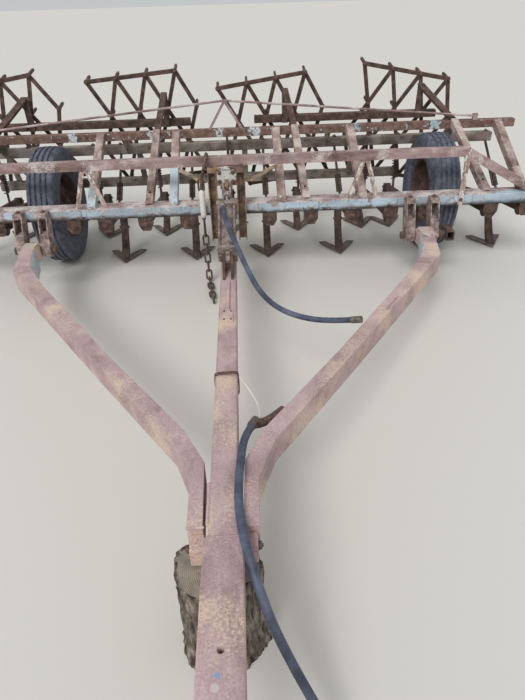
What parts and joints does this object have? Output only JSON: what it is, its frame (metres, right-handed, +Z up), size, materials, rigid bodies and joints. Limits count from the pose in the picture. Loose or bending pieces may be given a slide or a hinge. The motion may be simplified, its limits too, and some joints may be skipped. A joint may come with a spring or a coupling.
{
  "type": "field cultivator",
  "caption": "Drawn field cultivator parked with its V drawbar on a wood stump: frame on pneumatic wheels, sprung gangs with sweeps, raised harrow sections.",
  "frame": {"origin": "on the floor, under the middle of the machine's outer box", "axes": "+X across the machine, -Y towards the hitch, +Z up"},
  "size_m": [3.956, 4.0438, 1.155],
  "materials": {
    "beam_paint": "worn",
    "rust_paint": "worn",
    "dark_rust": "rusty",
    "share_steel": "worn",
    "tyre": "dusty",
    "rim_paint": "worn",
    "drawbar_paint": "worn",
    "wood": "sawn",
    "cylinder_paint": "worn",
    "chrome_rod": "polished",
    "hose_rubber": "matt",
    "fittings": "dull"
  },
  "bodies": {
    "frame": {"front_beam": "beam_paint", "rear_beam": "rust_paint", "press_beam": "rust_paint", "longitudinals": "rust_paint", "truss_chord": "rust_paint", "truss_posts": "rust_paint", "tower": "rust_paint", "tower_braces": "rust_paint", "hinge_ears": "rust_paint", "hinge_pins": "share_steel", "side_stub": "rust_paint", "gang_hinges": "dark_rust", "short_gangs": "dark_rust", "long_gangs": "dark_rust", "standards": "dark_rust", "sweeps": "share_steel", "press_rods": "dark_rust", "press_springs": "dark_rust", "carriers": "rust_paint", "carrier_legs": "rust_paint", "carrier_bars": "rust_paint", "lower_bar": "rust_paint", "harrow_frames": "dark_rust", "harrow_teeth": "dark_rust", "stay": "rust_paint", "wheel_arms": "rust_paint", "turnbuckle": "dark_rust", "chain": "dark_rust"},
    "drawbar": {"left_arm": "drawbar_paint", "right_arm": "drawbar_paint", "centre_beam": "drawbar_paint", "tongue": "drawbar_paint", "hitch_eye": "drawbar_paint", "lower_brackets": "drawbar_paint", "cylinder_ears": "drawbar_paint", "strap": "drawbar_paint", "stump": "wood", "hose_fittings": "fittings", "cylinder_hose": "hose_rubber", "tongue_hose": "hose_rubber", "hose_coupling": "fittings"},
    "barrel": {"cylinder_barrel": "cylinder_paint"},
    "rod": {"cylinder_rod": "chrome_rod"},
    "left_wheel": {"left_tyre": "tyre", "left_rim": "rim_paint"},
    "right_wheel": {"right_tyre": "tyre", "right_rim": "rim_paint"}
  },
  "joints": [
    {"name": "drawbar_hinge", "type": "hinge", "parent": "frame", "child": "drawbar", "pos_m": [0, 0.83003, 0.305], "axis": [1, 0, 0], "range_deg": [-13, 24]},
    {"name": "barrel_pivot", "type": "hinge", "parent": "drawbar", "child": "barrel", "pos_m": [0, 0.29002, 0.452], "axis": [1, 0, 0], "range_deg": [-5.8, 3.15], "deforming": ["cylinder_hose"]},
    {"name": "rod_slide", "type": "slide", "parent": "barrel", "child": "rod", "axis": [0, 0.948, 0.3183], "range_m": [-0.0685, 0.1265]},
    {"name": "left_wheel_spin", "type": "hinge", "parent": "frame", "child": "left_wheel", "pos_m": [-1.165, 1.41203, 0.376], "axis": [1, 0, 0], "continuous": true},
    {"name": "right_wheel_spin", "type": "hinge", "parent": "frame", "child": "right_wheel", "pos_m": [1.39, 1.41203, 0.376], "axis": [1, 0, 0], "continuous": true}
  ],
  "couplings": [
    {"joint": "barrel_pivot", "follows": "drawbar_hinge", "ratio": -0.2386},
    {"joint": "rod_slide", "follows": "drawbar_hinge", "m_per_rad": 0.3001}
  ]
}
